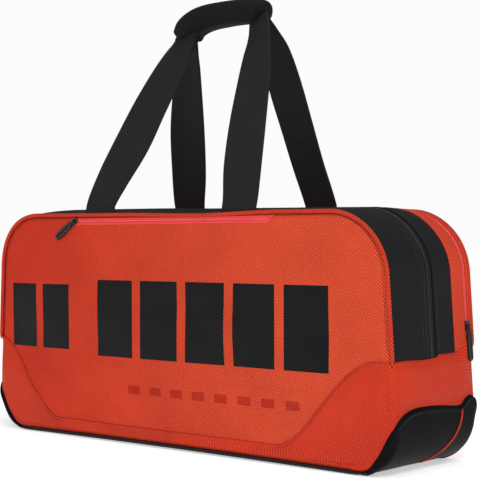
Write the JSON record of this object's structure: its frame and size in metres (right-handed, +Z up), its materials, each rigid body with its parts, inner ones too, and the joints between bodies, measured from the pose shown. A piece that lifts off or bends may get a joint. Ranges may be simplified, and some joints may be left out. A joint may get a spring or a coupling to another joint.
{
  "type": "racket tournament bag",
  "caption": "Long soft racket bag with front pocket, zipped main and rear compartments, moulded corner guards and two webbing handles joined by a padded grip.",
  "frame": {"origin": "on the surface the bag stands on, under the middle of the bag", "axes": "+X along the bag towards the end with the rear zip's slider, -Y out of the front pocket's face, +Z up towards the grip"},
  "size_m": [0.764, 0.1881, 0.6281],
  "materials": {
    "red_cloth": "ribbed orange-red ballistic cloth, slight sheen",
    "black_cloth": "plain-weave black cloth, dull",
    "webbing": "fine-ribbed black webbing, dull",
    "grip_pad": "padded black cloth, dull",
    "lining": "dark grey lining over foam",
    "guard_rubber": "moulded black rubber, satin",
    "piping": "corded red piping",
    "board": "stiff board, matt",
    "black_zip_tape": "woven tape",
    "red_zip_tape": "woven tape",
    "black_coil": "coil",
    "red_coil": "coil",
    "hook_and_loop": "hook and loop",
    "slider_metal": "black painted die-cast",
    "pull_plastic": "moulded, satin"
  },
  "bodies": {
    "base": {"base_panel": "black_cloth", "base_board": "board", "boot_end_left": "red_cloth", "boot_end_right": "red_cloth", "boot_front": "red_cloth", "boot_back": "red_cloth", "front_panel_lower": "red_cloth", "front_wall_lower": "lining", "corner_guard_left": "guard_rubber", "corner_guard_right": "guard_rubber", "guard_piping": "piping", "gusset_middle": "black_cloth", "gusset_rear": "red_cloth", "rear_end_patches": "red_cloth", "divider": "lining", "main_zip_tape_fixed": "black_zip_tape", "main_zip_coil_fixed": "black_coil", "rear_zip_tape_fixed": "red_zip_tape", "rear_zip_coil_fixed": "red_coil"},
    "front_shell": {"front_pocket_panel": "red_cloth", "front_wall": "lining", "front_foam": "lining", "front_piping": "piping", "gusset_front": "black_cloth", "pocket_zip_tapes": "red_zip_tape", "pocket_zip_coil": "red_coil", "main_zip_tape_moving": "black_zip_tape", "main_zip_coil_moving": "black_coil", "front_handle_anchors": "webbing"},
    "rear_shell": {"back_panel": "red_cloth", "back_foam": "lining", "back_piping": "piping", "gusset_back": "red_cloth", "rear_zip_tape_moving": "red_zip_tape", "rear_zip_coil_moving": "red_coil", "rear_handle_anchors": "webbing"},
    "front_handle": {"front_handle_webbing": "webbing", "grip_front_half": "grip_pad", "grip_hook_strips": "hook_and_loop"},
    "rear_handle": {"rear_handle_webbing": "webbing", "grip_rear_half": "grip_pad", "grip_loop_strips": "hook_and_loop"},
    "pocket_slider": {"pocket_slider": "slider_metal"},
    "pocket_pull": {"pocket_pull": "pull_plastic"},
    "main_slider": {"main_slider": "slider_metal"},
    "main_pull": {"main_pull": "pull_plastic"},
    "rear_slider": {"rear_slider": "slider_metal"},
    "rear_pull": {"rear_pull": "pull_plastic"}
  },
  "joints": [
    {"name": "front_opening", "type": "hinge", "parent": "base", "child": "front_shell", "pos_m": [0, -0.0925, 0.142], "axis": [1, 0, 0], "range_deg": [0, 30]},
    {"name": "rear_opening", "type": "hinge", "parent": "base", "child": "rear_shell", "pos_m": [0, 0.0925, 0.168], "axis": [-1, 0, 0], "range_deg": [0, 30]},
    {"name": "front_handle_swing", "type": "hinge", "parent": "front_shell", "child": "front_handle", "pos_m": [0, -0.0853, 0.3347], "axis": [1, 0, 0], "range_deg": [0, 100]},
    {"name": "rear_handle_swing", "type": "hinge", "parent": "rear_shell", "child": "rear_handle", "pos_m": [0, 0.0853, 0.3347], "axis": [-1, 0, 0], "range_deg": [0, 100]},
    {"name": "pocket_slider_run", "type": "slide", "parent": "front_shell", "child": "pocket_slider", "axis": [1, 0, 0], "range_m": [0, 0.382]},
    {"name": "pocket_pull_lift", "type": "hinge", "parent": "pocket_slider", "child": "pocket_pull", "pos_m": [-0.197, -0.0936, 0.319], "axis": [-0.5299, 0, 0.848], "range_deg": [0, 150]},
    {"name": "main_slider_run", "type": "slide", "parent": "base", "child": "main_slider", "axis": [0.0594, 0, 0.9982], "range_m": [0, 0.078]},
    {"name": "main_pull_lift", "type": "hinge", "parent": "main_slider", "child": "main_pull", "pos_m": [-0.37588, -0.005, 0.162], "axis": [0, 1, 0], "range_deg": [0, 150]},
    {"name": "rear_slider_run", "type": "slide", "parent": "base", "child": "rear_slider", "axis": [-0.0594, 0, 0.9982], "range_m": [0, 0.062]},
    {"name": "rear_pull_lift", "type": "hinge", "parent": "rear_slider", "child": "rear_pull", "pos_m": [0.37492, 0.078, 0.178], "axis": [0, -1, 0], "range_deg": [0, 150]}
  ]
}
